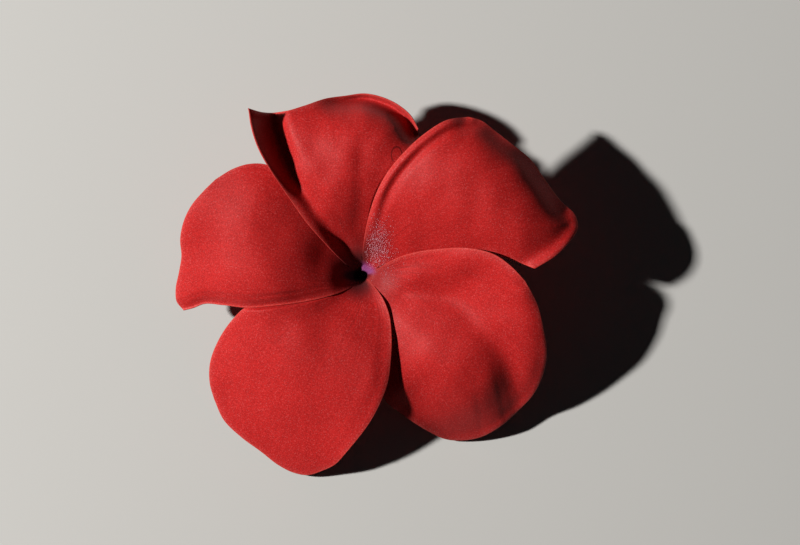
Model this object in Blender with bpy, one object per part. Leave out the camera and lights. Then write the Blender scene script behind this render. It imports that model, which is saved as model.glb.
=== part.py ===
"""A red plumeria flower, as picked, lying face up on a level surface.

Five petals stand round the mouth of one narrow corolla tube. Each petal rises out of
the throat, arches over and bends down to its tip. Its free edge, the one further round
counter-clockwise, lies over the covered edge of the next petal, so the five close like
a pinwheel. The flower rests on the lower margins of two petals and on the end of its
tube, which bends back under it.

Lengths are in millimetres until a mesh is made, then in metres, with +Z up. Places are
given from the centre of the throat, and THROAT moves them so that the origin lies under
the middle of the flower's box.
"""

from math import cos, pi, radians, sin

import bmesh
import bpy
import numpy as np

MM = 0.001

# Where the throat stands
THROAT = (-2.35, 2.0)
MOUTH_RADIUS = 2.0
MOUTH_HEIGHT = 9.5
# The bloom's face, above the mouth, at these distances from the throat,
PROFILE_REACHES = (2, 4, 6, 9, 12, 16, 20, 25, 30, 36, 42)
# along lines out of the throat at these headings in degrees
PROFILES = {
    -142: (0, 2.0, 3.3, 4.6, 5.6, 5.9, 4.8, 1.9, -1.4, -5.0, -8.8),
    -112: (0, 2.0, 3.3, 4.4, 4.9, 4.8, 4.0, 1.7, -1.4, -5.2, -9.3),
    -86: (0, 1.8, 3.2, 4.1, 4.5, 4.6, 4.3, 2.9, 0.6, -3.1, -7.5),
    -64: (0, 1.7, 2.7, 3.4, 3.7, 3.7, 3.0, 1.0, -2.4, -8.7, -14.8),
    -50: (0, 1.8, 2.8, 3.5, 4.0, 4.6, 4.9, 4.1, 1.8, -3.2, -8.4),
    -18: (0, 1.8, 2.7, 3.4, 3.8, 4.3, 5.2, 6.6, 7.2, 5.8, 2.0),
    10: (0, 1.9, 3.1, 4.5, 5.7, 7.8, 9.9, 12.0, 12.8, 11.4, 8.2),
    40: (0, 2.0, 3.8, 5.9, 7.9, 10.4, 12.5, 14.2, 14.5, 12.8, 9.4),
    106: (0, 2.3, 4.0, 6.2, 8.0, 9.6, 10.6, 10.8, 10.2, 8.0, 5.0),
    152: (0, 2.5, 4.3, 6.2, 7.8, 9.2, 10.1, 10.5, 10.5, 10.2, 9.8),
    176: (0, 2.6, 4.5, 6.2, 7.5, 8.6, 8.9, 7.6, 4.8, 0.9, -3.0),
}

PETAL_THICKNESS = 0.7
PETAL_GAP = 0.45
STEEPEST_WALL = 2.2
STEEPEST_ROOF = 2.6
SLOPE_STEP = 0.15
ROOT_GAP_ANGLE = 4.5
# The covered edges dive under their neighbours between these distances from the throat
DIVE_START, DIVE_END = 3.0, 4.6
# and come up again from this far outside the neighbour's free edge
DIVE_MARGIN = 1.2
DIVE_REACH = 6.0
DIVE_SLOPE = 1.1
DIVE_BLEND = 0.5
# A petal leans: its free edge is this much higher, its covered edge a share of it lower
PITCH = 0.9
PITCH_WIDTH = 5.0
PITCH_COVERED_SHARE = 0.8
DOME_SINK = 0.3
# Pitch, dome, swells and folds grow to their full height between these distances
PITCH_GROWS = (2.2, 7)
DOME_GROWS = (3, 12)
SWELLS_GROW = (2.5, 8)
FOLDS_GROW = (4, 9)
# and swells and folds fade over this share of their length at each end
FADE = 0.35

ROWS_ALONG = 21
ROWS_ACROSS = 17
# How evenly the rows are spread: 1 is even, less puts them closer at both ends
EVEN_ALONG = 0.4
EVEN_ACROSS = 0.35
CURVE_POINTS = 60
SHARP_ANGLE = 50

TUBE_SIDES = 24
TUBE_RINGS = 8
TUBE_WALL = 0.8
TUBE_RADIUS = 2.0
TUBE_END_RADIUS = 1.5
# The flared lip under the petals' roots: each ring of its section by its radius and its
# depth below the bloom's face
LIP_RINGS = [(1.6, 1.65), (2.05, 1.65), (2.9, 1.55), (3.05, 2.3), (2.4, 3.2)]
# The tube's centre line, from below the lip down to its end on the surface
TUBE_PATH = [(0.0, 0.0, 6.9), (0.2, -0.2, 2.6), (0.9, 3.4, 1.9), (1.9, 12.6, 1.52)]

PETAL_RED = (0.45, 0.018, 0.022, 1.0)
TUBE_RED = (0.36, 0.05, 0.05, 1.0)

# Each petal: the part of the mouth that it starts from in degrees, then its outline as
# points from root to corner along both long edges and from the free corner to the covered
# corner along the tip. A dome is its height and how fast it falls to the edges. A swell
# follows an edge: its edge, from and to along that edge, depth inside, width and height.
# A fold runs straight: its two ends, width and height.
PETALS = {
    "petal_top": {
        "root": (88, 155),
        "free": [(-4.4, 3.2), (-7.2, 6.1), (-10.4, 9.7), (-13.9, 14.6), (-17.3, 19.6),
                 (-19.9, 24.5), (-21.1, 28.5), (-21.5, 31.4)],
        "tip": [(-19.2, 30.8), (-14.8, 31.0), (-11.0, 32.1), (-7.2, 33.4), (-3.4, 33.9),
                (0.4, 34.3), (3.6, 33.6), (6.7, 32.1), (8.9, 30.2)],
        "covered": [(-0.45, 3.6), (-0.3, 5.2), (1.4, 8.2), (4.2, 12.6), (7.0, 17.1),
                    (9.3, 21.9), (10.6, 25.1), (10.4, 27.6)],
        "dome": (1.6, 4.5),
        "swells": [("free", 0.42, 1.6, 0.0, 1.5, 3.2), ("free", 0.5, 1.6, 4.2, 1.9, -3.4),
                   ("free", 0.2, 0.92, 2.8, 1.5, -2.0), ("free", -0.3, 0.45, 2.3, 1.5, -1.7),
                   ("free", 0.1, 0.75, 5.2, 1.3, -0.5),
                   ("tip", -0.5, 0.75, 0.0, 4.6, -3.6), ("tip", -0.5, 0.68, 1.0, 1.5, -3.2),
                   ("tip", -0.5, 0.6, 0.0, 0.5, 1.0),
                   ("tip", 0.7, 1.4, 0.0, 1.2, 1.8)],
        "folds": [((-2.6, 34.0), (-3.4, 8.0), 4.5, 1.1)],
    },
    "petal_upper_right": {
        "root": (20, 88),
        "free": [(0.0, 3.8), (0.3, 6.7), (1.1, 11.0), (2.5, 15.4), (4.8, 19.6),
                 (8.0, 23.4), (11.8, 26.8), (16.0, 29.3), (19.9, 29.9)],
        "tip": [(22.2, 29.3), (25.1, 27.2), (28.3, 24.7), (31.7, 21.9), (34.6, 17.9),
                (37.4, 14.1), (40.5, 10.8), (40.7, 8.9), (39.3, 6.5), (36.7, 3.8)],
        "covered": [(3.2, 1.75), (4.7, 2.6), (6.6, 2.3), (9.6, 1.7), (14.6, 2.3),
                    (19.4, 3.4), (23.2, 4.3), (26.0, 3.6), (32.5, 1.2)],
        "dome": (2.4, 5.0),
        "swells": [("free", 0.1, 1.15, 0.9, 0.8, 0.5), ("free", 0.1, 1.1, 2.3, 0.9, -0.5),
                   ("tip", -0.4, 0.5, 0.0, 1.5, 1.8), ("tip", 0.15, 1.35, 0.0, 2.6, -1.8)],
        "folds": [],
    },
    "petal_lower_right": {
        "root": (-48, 20),
        "free": [(4.8, 2.3), (7.4, 3.5), (10.4, 4.3), (14.1, 4.8), (17.9, 5.1),
                 (21.5, 4.8), (24.9, 3.8), (27.9, 1.7), (30.6, -1.1)],
        "tip": [(32.9, -5.3), (34.2, -10.1), (34.9, -14.6), (34.2, -19.0), (32.3, -23.0),
                (29.3, -26.2), (26.0, -29.1), (22.6, -31.0), (18.8, -31.7), (15.6, -31.4),
                (12.7, -30.0), (9.3, -27.9)],
        "covered": [(2.55, -2.6), (3.35, -3.8), (3.1, -6.2), (2.5, -10.4), (2.5, -16.1),
                    (3.2, -20.9), (4.4, -24.1), (6.7, -26.0)],
        "dome": (1.4, 5.0),
        "swells": [("free", 0.1, 1.1, 5.5, 2.2, -0.5), ("free", 0.3, 1.3, 1.5, 2.0, 0.5),
                   ("tip", 0.0, 1.0, 0.0, 1.0, 0.4), ("tip", 0.5, 1.4, 0.0, 3.6, 1.2),
                   ("tip", 0.5, 1.2, 2.5, 3.5, 0.9),
                   ("covered", 0.1, 1.4, 0.0, 6.0, -0.4)],
        "folds": [((13.0, 3.5), (31.5, -22.5), 3.2, -1.1), ((25.5, -8.0), (31.5, -35.0), 2.8, -1.0),
                  ((5.0, -0.8), (22.0, 0.6), 2.2, 0.6), ((3.5, -3.2), (20.0, -4.6), 1.9, -0.6)],
    },
    "petal_bottom": {
        "root": (235, 312),
        "free": [(3.0, -3.8), (4.6, -7.0), (5.3, -11.4), (5.3, -15.8), (4.7, -20.5),
                 (3.2, -24.5), (1.1, -28.3), (-1.3, -31.5), (-3.4, -34.0)],
        "tip": [(-5.3, -36.1), (-7.8, -37.4), (-10.8, -38.3), (-13.5, -37.8),
                (-16.1, -36.5), (-19.6, -33.8), (-23.4, -31.0), (-26.8, -27.6)],
        "covered": [(-2.3, -2.65), (-3.5, -3.35), (-5.6, -3.3), (-9.1, -3.1),
                    (-14.8, -4.0), (-19.2, -4.6), (-22.0, -5.9), (-24.9, -8.6),
                    (-27.7, -12.7), (-29.3, -17.1), (-29.3, -20.9), (-28.5, -23.8)],
        "dome": (2.2, 6.0),
        "swells": [("free", 0.2, 1.0, 1.9, 1.1, -0.12), ("free", 0.2, 1.2, 0.3, 0.8, 0.08),
                   ("free", 0.1, 1.3, 0.0, 5.0, 0.7),
                   ("covered", -0.4, 0.75, 0.0, 3.0, 0.9)],
        "folds": [],
    },
    "petal_left": {
        "root": (155, 235),
        "free": [(-3.4, -2.9), (-7.2, -4.2), (-12.0, -5.2), (-16.7, -5.8), (-22.0, -6.2),
                 (-26.8, -5.7), (-30.4, -5.5), (-32.5, -6.3), (-34.2, -6.7)],
        "tip": [(-35.5, -5.1), (-35.7, -2.9), (-35.0, 0.6), (-34.5, 3.6), (-34.7, 6.7),
                (-34.0, 10.1), (-32.5, 13.1), (-30.2, 15.8)],
        "covered": [(-3.5, 1.95), (-4.55, 3.0), (-5.5, 4.9), (-7.3, 7.8), (-9.9, 11.8),
                    (-12.6, 16.0), (-15.4, 19.2), (-18.4, 20.9), (-21.5, 21.0),
                    (-24.5, 20.1), (-27.7, 18.2)],
        "dome": (1.8, 5.5),
        "swells": [("free", 0.1, 1.4, 0.0, 0.25, 0.15), ("free", 0.1, 1.1, 2.0, 0.4, -0.15),
                   ("free", 0.1, 1.2, 0.0, 1.5, -1.4),
                   ("tip", 0.1, 1.4, 0.0, 3.5, 0.9)],
        "folds": [],
    },
}
# Which petal's free edge lies over each petal's covered edge
UPPER_NEIGHBOUR = {
    "petal_top": "petal_upper_right",
    "petal_upper_right": "petal_lower_right",
    "petal_lower_right": "petal_bottom",
    "petal_bottom": "petal_left",
    "petal_left": "petal_top",
}
LONG_EDGES_AND_TIP = ("free", "covered", "tip")


def ramp(start, end, value):
    """Rise smoothly from 0 at start to 1 at end"""
    t = np.clip((value - start) / (end - start), 0, 1)
    return t * t * (3 - 2 * t)


def bump(value, middle, width):
    """A bell of height 1 round the middle"""
    return np.exp(-((value - middle) / width) ** 2)


def smaller(a, b, blend):
    """The smaller of two heights, rounded where they meet"""
    share = np.clip(0.5 + 0.5 * (b - a) / blend, 0, 1)
    return b + (a - b) * share - blend * share * (1 - share)


def smooth_curve(points, count):
    """A curve through the points, as a given count of points spaced evenly along it"""
    p = np.array(points, float)
    p = np.vstack([2 * p[0] - p[1], p, 2 * p[-1] - p[-2]])
    t = np.linspace(0, 1, 12, endpoint=False)[:, None]
    spans = []
    for before, start, end, after in zip(p[:-3], p[1:-2], p[2:-1], p[3:]):
        came, here, goes = (np.linalg.norm(b - a) for a, b in
                            ((before, start), (start, end), (end, after)))
        heading = (end - start) / here
        leave = ((start - before) / came * here + heading * came) / (came + here) * here
        arrive = (heading * goes + (after - end) / goes * here) / (here + goes) * here
        spans.append((2 * t ** 3 - 3 * t ** 2 + 1) * start + (t ** 3 - 2 * t ** 2 + t) * leave
                     + (3 * t ** 2 - 2 * t ** 3) * end + (t ** 3 - t ** 2) * arrive)
    spans.append(p[-2:-1])
    curve = np.vstack(spans)
    run = np.concatenate([[0], np.cumsum(np.linalg.norm(np.diff(curve, axis=0), axis=1))])
    wanted = np.linspace(0, run[-1], count)
    return np.stack([np.interp(wanted, run, axis) for axis in curve.T], axis=1)


def on_mouth(angle):
    """A point of the throat's ring"""
    return (MOUTH_RADIUS * cos(radians(angle)), MOUTH_RADIUS * sin(radians(angle)))


def edge_curves(petal):
    """The four curves round a petal, seen from above"""
    first = petal["root"][0] + ROOT_GAP_ANGLE
    last = petal["root"][1] - ROOT_GAP_ANGLE
    corners = petal["covered"][-1], petal["free"][-1]
    return {
        "covered": smooth_curve([on_mouth(first)] + petal["covered"], CURVE_POINTS),
        "free": smooth_curve([on_mouth(last)] + petal["free"], CURVE_POINTS),
        "tip": smooth_curve([corners[0]] + petal["tip"][::-1] + [corners[1]], CURVE_POINTS),
        "root": np.array([on_mouth(a) for a in np.linspace(first, last, CURVE_POINTS)]),
    }


def nearest(x, y, curve):
    """Distance from each point to a curve, and how far along the curve it is, 0 to 1"""
    start, step = curve[:-1], np.diff(curve, axis=0)
    to_x, to_y = x[..., None] - start[:, 0], y[..., None] - start[:, 1]
    t = np.clip((to_x * step[:, 0] + to_y * step[:, 1]) / (step ** 2).sum(1), 0, 1)
    distance = np.hypot(to_x - t * step[:, 0], to_y - t * step[:, 1])
    best = distance.argmin(-1)[..., None]
    along = (best + np.take_along_axis(t, best, -1)) / len(start)
    return np.take_along_axis(distance, best, -1)[..., 0], along[..., 0]


def inside(x, y, curves):
    """Whether each point lies inside the petal's outline"""
    ring = np.vstack([curves["covered"], curves["tip"][1:], curves["free"][-2::-1],
                      curves["root"][-2:0:-1]])
    result = np.zeros(x.shape, bool)
    for (ax, ay), (bx, by) in zip(ring, np.roll(ring, -1, axis=0)):
        if ay != by:
            result ^= ((ay > y) != (by > y)) & (x < (bx - ax) * (y - ay) / (by - ay) + ax)
    return result


def arch(x, y):
    """The bloom's face as a whole, out of the throat, over and down: a smooth curve through
    the profiles on both sides of each point"""
    reach, turn = np.hypot(x, y), np.degrees(np.arctan2(y, x))
    headings = sorted(PROFILES)
    heights = [np.interp(reach, *PROFILE_CURVES[heading].T) for heading in headings]
    gaps = (np.roll(headings, -1) - headings) % 360
    lift = [(after - here) / gap for here, after, gap in
            zip(heights, heights[1:] + heights[:1], gaps)]
    slopes = [(lift[k - 1] * gaps[k] + lift[k] * gaps[k - 1]) / (gaps[k - 1] + gaps[k])
              for k in range(len(headings))]
    height = np.full(x.shape, MOUTH_HEIGHT)
    for k, (heading, gap) in enumerate(zip(headings, gaps)):
        t = ((turn - heading) % 360) / gap
        after = (k + 1) % len(headings)
        between = ((2 * t ** 3 - 3 * t ** 2 + 1) * heights[k] + (3 * t ** 2 - 2 * t ** 3)
                   * heights[after] + (t ** 3 - 2 * t ** 2 + t) * gap * slopes[k]
                   + (t ** 3 - t ** 2) * gap * slopes[after])
        height += np.where((t >= 0) & (t < 1), between, 0)
    return height


def folds(name, x, y):
    """The straight folds of one petal"""
    relief = np.zeros(x.shape)
    for start, end, width, height in PETALS[name]["folds"]:
        start, end = np.array(start), np.array(end)
        length = np.linalg.norm(end - start)
        ux, uy = (end - start) / length
        along = ((x - start[0]) * ux + (y - start[1]) * uy) / length
        apart = (x - start[0]) * uy - (y - start[1]) * ux
        relief += height * ramp(0, FADE, along) * ramp(0, FADE, 1 - along) * bump(apart, 0, width)
    return relief


def free_height(name, x, y):
    """A petal's upper face before its covered edge is tucked away"""
    petal, curves = PETALS[name], EDGE_CURVES[name]
    within = inside(x, y, curves)
    reach = np.hypot(x, y)
    apart, along = {}, {}
    for edge in LONG_EDGES_AND_TIP:
        apart[edge], along[edge] = nearest(x, y, curves[edge])
    # outside the petal, the edge that was crossed counts as no depth at all
    crossed = np.minimum.reduce([apart[edge] for edge in LONG_EDGES_AND_TIP])
    depth = {edge: np.where(within | (apart[edge] > crossed), apart[edge], 0)
             for edge in LONG_EDGES_AND_TIP}
    rise, fall = petal["dome"]
    dome = np.ones(x.shape)
    for edge in LONG_EDGES_AND_TIP:
        dome *= 1 - np.exp(-depth[edge] / fall)
    height = arch(x, y) + rise * (dome - DOME_SINK) * ramp(*DOME_GROWS, reach)
    pitch = (np.exp(-depth["free"] / PITCH_WIDTH)
             - PITCH_COVERED_SHARE * np.exp(-depth["covered"] / PITCH_WIDTH))
    height += PITCH * pitch * ramp(*PITCH_GROWS, reach)
    for edge, start, end, middle, width, swell in petal["swells"]:
        half = (end - start) / 2 - np.abs(along[edge] - (start + end) / 2)
        height += swell * ramp(0, FADE, half) * bump(depth[edge], middle, width) \
            * ramp(*SWELLS_GROW, reach)
    height += folds(name, x, y) * ramp(*FOLDS_GROW, reach)
    return height, np.where(within, 0, apart["free"])


def slant(height_at, x, y):
    """How much longer an upright line through a sheet is than the sheet's true thickness"""
    slope_x, slope_y = (
        (height_at(x + dx, y + dy) - height_at(x - dx, y - dy)) / (2 * SLOPE_STEP)
        for dx, dy in ((SLOPE_STEP, 0), (0, SLOPE_STEP)))
    return np.sqrt(1 + slope_x ** 2 + slope_y ** 2)


def face_height(name, x, y):
    """A petal's upper face, with its covered edge tucked under the next petal"""
    height = free_height(name, x, y)[0]
    above = UPPER_NEIGHBOUR[name]
    roof, outside = free_height(above, x, y)
    steep = slant(lambda px, py: free_height(above, px, py)[0], x, y)
    dive = ramp(DIVE_START, DIVE_END, np.hypot(x, y))
    clearance = (PETAL_THICKNESS + PETAL_GAP) * np.minimum(steep, STEEPEST_ROOF) * dive
    limit = roof - clearance + np.maximum(outside - DIVE_MARGIN, 0) * DIVE_SLOPE + (1 - dive)
    return np.where(outside < DIVE_REACH, smaller(height, limit, DIVE_BLEND), height)


def spread_rows(count, evenness):
    """Shares from 0 to 1, closer together at both ends"""
    t = np.linspace(0, 1, count)
    return evenness * t + (1 - evenness) * (1 - np.cos(pi * t)) / 2


def petal_plan(curves):
    """A grid of points that fills the outline, as rows across from root to tip"""
    along = spread_rows(ROWS_ALONG, EVEN_ALONG)
    across = spread_rows(ROWS_ACROSS, EVEN_ACROSS)

    def pick(edge, shares):
        place = shares * (CURVE_POINTS - 1)
        return np.stack([np.interp(place, np.arange(CURVE_POINTS), axis)
                         for axis in curves[edge].T], axis=1)

    u, v = along[:, None, None], across[None, :, None]
    covered, free = pick("covered", along)[:, None], pick("free", along)[:, None]
    root, tip = pick("root", across)[None], pick("tip", across)[None]
    corners = ((1 - u) * (1 - v) * root[:, :1] + (1 - u) * v * root[:, -1:]
               + u * (1 - v) * tip[:, :1] + u * v * tip[:, -1:])
    return (1 - v) * covered + v * free + (1 - u) * root + u * tip - corners


def cell_means(grid):
    """The mean of the four corners of each cell"""
    return (grid[:-1, :-1] + grid[1:, :-1] + grid[:-1, 1:] + grid[1:, 1:]) / 4


def petal_object(name):
    """One petal as a closed blade of even thickness, each cell cut along its better diagonal"""
    plan = petal_plan(EDGE_CURVES[name])
    x, y = plan[..., 0], plan[..., 1]
    top = face_height(name, x, y)
    steep = slant(lambda px, py: face_height(name, px, py), x, y)
    bottom = top - PETAL_THICKNESS * np.minimum(steep, STEEPEST_WALL)
    mesh = bmesh.new()
    sheets = [[[mesh.verts.new(((x[i, j] + THROAT[0]) * MM, (y[i, j] + THROAT[1]) * MM,
                                z[i, j] * MM)) for j in range(ROWS_ACROSS)]
               for i in range(ROWS_ALONG)] for z in (top, bottom)]
    middle = face_height(name, cell_means(x), cell_means(y))
    for i in range(ROWS_ALONG - 1):
        for j in range(ROWS_ACROSS - 1):
            cell = [(i, j), (i + 1, j), (i + 1, j + 1), (i, j + 1)]
            misses = [abs(middle[i, j] - (top[cell[k]] + top[cell[k + 2]]) / 2) for k in (0, 1)]
            turn = 0 if misses[0] <= misses[1] else 1
            cell = cell[turn:] + cell[:turn]
            for sheet, flip in zip(sheets, (True, False)):
                corners = [sheet[a][b] for a, b in cell]
                for triple in ((0, 1, 2), (0, 2, 3)):
                    face = [corners[k] for k in triple]
                    mesh.faces.new(face[::-1] if flip else face)
    rim = ([(i, 0) for i in range(ROWS_ALONG - 1)]
           + [(ROWS_ALONG - 1, j) for j in range(ROWS_ACROSS - 1)]
           + [(i, ROWS_ACROSS - 1) for i in range(ROWS_ALONG - 1, 0, -1)]
           + [(0, j) for j in range(ROWS_ACROSS - 1, 0, -1)])
    for here, after in zip(rim, rim[1:] + rim[:1]):
        high = [sheets[0][a][b] for a, b in (here, after)]
        low = [sheets[1][a][b] for a, b in (here, after)]
        mesh.faces.new((high[0], high[1], low[1]))
        mesh.faces.new((high[0], low[1], low[0]))
    bmesh.ops.recalc_face_normals(mesh, faces=mesh.faces)
    return finished_object(name, mesh, PETAL_RED, 0.55)


def tube_path(share):
    """A place on the tube's centre line and the direction it runs in there"""
    a, b, c, d = (np.array(p) for p in TUBE_PATH)
    rest = 1 - share
    place = rest ** 3 * a + 3 * rest ** 2 * share * b + 3 * rest * share ** 2 * c + share ** 3 * d
    heading = rest ** 2 * (b - a) + 2 * rest * share * (c - b) + share ** 2 * (d - c)
    return place, heading / np.linalg.norm(heading)


def tube_object():
    """The corolla tube: hollow, open at both ends, its mouth flared into a seat for the petals"""
    mesh = bmesh.new()
    turns = np.linspace(0, 2 * pi, TUBE_SIDES, endpoint=False)

    def lip_ring(radius, below):
        px, py = radius * np.sin(turns), -radius * np.cos(turns)
        return np.stack([px, py, arch(px, py) - below], 1)

    def tube_ring(share, radius):
        place, heading = tube_path(share)
        side = np.cross(heading, (1.0, 0.0, 0.0))
        side /= np.linalg.norm(side)
        other = np.cross(side, heading)
        return [place + radius * (cos(turn) * side + sin(turn) * other) for turn in turns]

    shares = [k / TUBE_RINGS for k in range(TUBE_RINGS + 1)]
    radii = [TUBE_RADIUS + (TUBE_END_RADIUS - TUBE_RADIUS) * s for s in shares]
    outlines = [lip_ring(*ring) for ring in LIP_RINGS]
    outlines += [tube_ring(s, r) for s, r in zip(shares, radii)]
    outlines += [tube_ring(s, r - TUBE_WALL) for s, r in zip(shares[::-1], radii[::-1])]
    rings = [[mesh.verts.new(((p[0] + THROAT[0]) * MM, (p[1] + THROAT[1]) * MM, p[2] * MM))
              for p in outline] for outline in outlines]
    for here, after in zip(rings, rings[1:] + rings[:1]):
        for k in range(TUBE_SIDES):
            n = (k + 1) % TUBE_SIDES
            mesh.faces.new((here[k], here[n], after[n], after[k]))
    bmesh.ops.recalc_face_normals(mesh, faces=mesh.faces)
    return finished_object("corolla_tube", mesh, TUBE_RED, 0.5)


def finished_object(name, mesh, colour, roughness):
    """Turn a bmesh into a smooth-shaded object with its own material"""
    data = bpy.data.meshes.new(name)
    mesh.to_mesh(data)
    mesh.free()
    data.shade_smooth()
    data.set_sharp_from_angle(angle=radians(SHARP_ANGLE))
    material = bpy.data.materials.new(name)
    material.use_nodes = True
    shader = material.node_tree.nodes["Principled BSDF"]
    shader.inputs["Base Color"].default_value = colour
    shader.inputs["Roughness"].default_value = roughness
    shader.inputs["Metallic"].default_value = 0.0
    data.materials.append(material)
    item = bpy.data.objects.new(name, data)
    bpy.context.scene.collection.objects.link(item)
    return item


EDGE_CURVES = {name: edge_curves(petal) for name, petal in PETALS.items()}
PROFILE_CURVES = {heading: smooth_curve(list(zip(PROFILE_REACHES, heights)), 200)
                  for heading, heights in PROFILES.items()}


def main():
    for item in list(bpy.data.objects):
        bpy.data.objects.remove(item, do_unlink=True)
    for name in PETALS:
        petal_object(name)
    tube_object()


main()
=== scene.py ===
"""The looks of a red plumeria flower that lies face up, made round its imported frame.

Every petal is a fine blade with a thin rounded rim, low folds and ripples. The blades run
down into the throat and close round its oval hole. The corolla tube is slender and hollow,
with a flared lip. Fine pale papillae stand on the bases of two petals. Lengths are in
millimetres from the centre of the throat until a mesh is made, then in metres.
"""
from math import cos, pi, radians, sin

import bpy
import numpy as np
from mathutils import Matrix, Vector


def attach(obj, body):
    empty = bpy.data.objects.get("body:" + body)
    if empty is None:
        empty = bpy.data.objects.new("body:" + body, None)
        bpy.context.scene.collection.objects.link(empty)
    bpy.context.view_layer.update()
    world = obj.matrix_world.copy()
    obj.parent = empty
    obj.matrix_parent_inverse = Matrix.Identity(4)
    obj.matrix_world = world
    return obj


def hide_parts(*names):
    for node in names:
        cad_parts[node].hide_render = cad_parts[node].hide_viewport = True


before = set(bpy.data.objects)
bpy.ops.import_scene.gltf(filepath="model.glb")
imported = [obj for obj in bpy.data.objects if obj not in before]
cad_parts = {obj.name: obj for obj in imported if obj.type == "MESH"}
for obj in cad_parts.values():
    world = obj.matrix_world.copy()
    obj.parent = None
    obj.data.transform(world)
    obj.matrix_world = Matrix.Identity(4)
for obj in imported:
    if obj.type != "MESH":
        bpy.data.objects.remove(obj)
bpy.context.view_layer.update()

MM = 0.001
FLOWER = "root"

# Where the throat stands
THROAT = (-2.35, 2.0)
MOUTH_RADIUS = 2.0
MOUTH_HEIGHT = 9.5
# The bloom's face, above the mouth, at these distances from the throat,
PROFILE_REACHES = (2, 4, 6, 9, 12, 16, 20, 25, 30, 36, 42)
# along lines out of the throat at these headings in degrees
PROFILES = {
    -142: (0, 2.0, 3.3, 4.6, 5.6, 5.9, 4.8, 1.9, -1.4, -5.0, -8.8),
    -112: (0, 2.0, 3.3, 4.4, 4.9, 4.8, 4.0, 1.7, -1.4, -5.2, -9.3),
    -86: (0, 1.8, 3.2, 4.1, 4.5, 4.6, 4.3, 2.9, 0.6, -3.1, -7.5),
    -64: (0, 1.7, 2.7, 3.4, 3.7, 3.7, 3.0, 1.0, -2.4, -8.7, -14.8),
    -50: (0, 1.8, 2.8, 3.5, 4.0, 4.6, 4.9, 4.1, 1.8, -3.2, -8.4),
    -18: (0, 1.8, 2.7, 3.4, 3.8, 4.3, 5.2, 6.6, 7.2, 5.8, 2.0),
    10: (0, 1.9, 3.1, 4.5, 5.7, 7.8, 9.9, 12.0, 12.8, 11.4, 8.2),
    40: (0, 2.0, 3.8, 5.9, 7.9, 10.4, 12.5, 14.2, 14.5, 12.8, 9.4),
    106: (0, 2.3, 4.0, 6.2, 8.0, 9.6, 10.6, 10.8, 10.2, 8.0, 5.0),
    152: (0, 2.5, 4.3, 6.2, 7.8, 9.2, 10.1, 10.5, 10.5, 10.2, 9.8),
    176: (0, 2.6, 4.5, 6.2, 7.5, 8.6, 8.9, 7.6, 4.8, 0.9, -3.0),
}

# The blade: its thickness, that at its rim, how far in the rim tapers and how far it bulges
BLADE = 0.5
RIM = 0.24
RIM_TAPER = 0.9
RIM_NOSE = 0.09
# The gap between two blades, square to them, and the most that a steep slope stretches it
# upright. The slope is measured over a short step.
BLADE_GAP = 0.06
STEEPEST_ROOF = 2.6
SLOPE_STEP = 0.15
# A petal starts this many degrees inside both ends of its part of the mouth
ROOT_GAP_ANGLE = 0.3
# The covered edges dive under their neighbours between these distances from the throat
DIVE_START, DIVE_END = 2.1, 3.5
# and come up again from this far outside the neighbour's free edge, at this slope, to this
# distance, rounded over this height where they meet the rest
DIVE_MARGIN = 0.1
DIVE_SLOPE = 3.0
DIVE_REACH = 6.0
DIVE_BLEND = 0.35
# A petal is pitched: its free edge stands up by this height, within about this width, and
# its covered edge goes down by this share of it
PITCH = 0.9
PITCH_WIDTH = 5.0
PITCH_COVERED_SHARE = 0.8
# A dome's foot lies this share of its height below the bloom's face
DOME_SINK = 0.3
# The distances from the throat between which each part of the relief grows to its full height
DOME_GROWS = (3, 12)
PITCH_GROWS = (2.2, 7)
SWELLS_GROW = (2.5, 8)
FOLDS_GROW = (4, 9)
# Folds and swells fade out at both ends, over this share of a fold or of an edge
FADE = 0.35

# The blades go on into the throat, down a funnel and a deep oval hole off its middle: the
# oval's middle, its half length and half width, the degrees that it is turned, the hole's
# depth, and its width at the bottom as a share
HOLE_CENTRE = (-0.45, -0.05)
HOLE_HALVES = (1.45, 0.85)
HOLE_TURN = 12
HOLE_DEPTH = 3.0
HOLE_NARROWING = 0.5
# Round the lip's heading, within its half width in degrees, the funnel is nearly level
FUNNEL_SLOPE = 1.1
LIP_SLOPE = 0.25
LIP_HEADING, LIP_WIDTH = 45, 55
# The rows of faces down both, and the share of its thickness that a blade has there
FUNNEL_ROWS, HOLE_ROWS = 12, 6
FUNNEL_THINNING = 0.5
# A patch of the throat fades out between these shares of its half width
PATCH_EDGE = (0.6, 1.4)

# How finely curves and blades are divided, and how evenly a blade's rows are, 1 for alike
CURVE_STEPS = 12
CURVE_POINTS = 90
PROFILE_POINTS = 200
ROWS_ALONG = 170
ROWS_ACROSS = 150
EVEN_ALONG, EVEN_ACROSS = 0.4, 0.3
# The lining of the throat takes this much more of the length of the veins' pattern
LINING_SHARE = 0.05

# The throat is lilac on one side, and painted shade darkens its other sides, where the bases
# slope away from the light: the heading of the middle of each patch, its half width in degrees,
# the distances from the throat between which it fades, and its strength
LILAC = ((56, 46, 1.5, 3.0, 1.0),)
PAINTED_SHADE_PATCHES = ((142, 66, 2.6, 8.6, 1.0), (240, 70, 1.6, 6.4, 1.0), (350, 42, 1.5, 9.0, 0.5))
# Painted shade lies round the hole, where the throat drops into shade: its middle, its half
# length and half width
PIT_SHADE = (-1.3, -0.1, 2.5, 1.15)

# Low ripples all over a petal: how many waves, their height, and the range of their lengths
RIPPLES = 7
RIPPLE_HEIGHT = 0.025
RIPPLE_LENGTHS = (4.5, 10.0)

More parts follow.
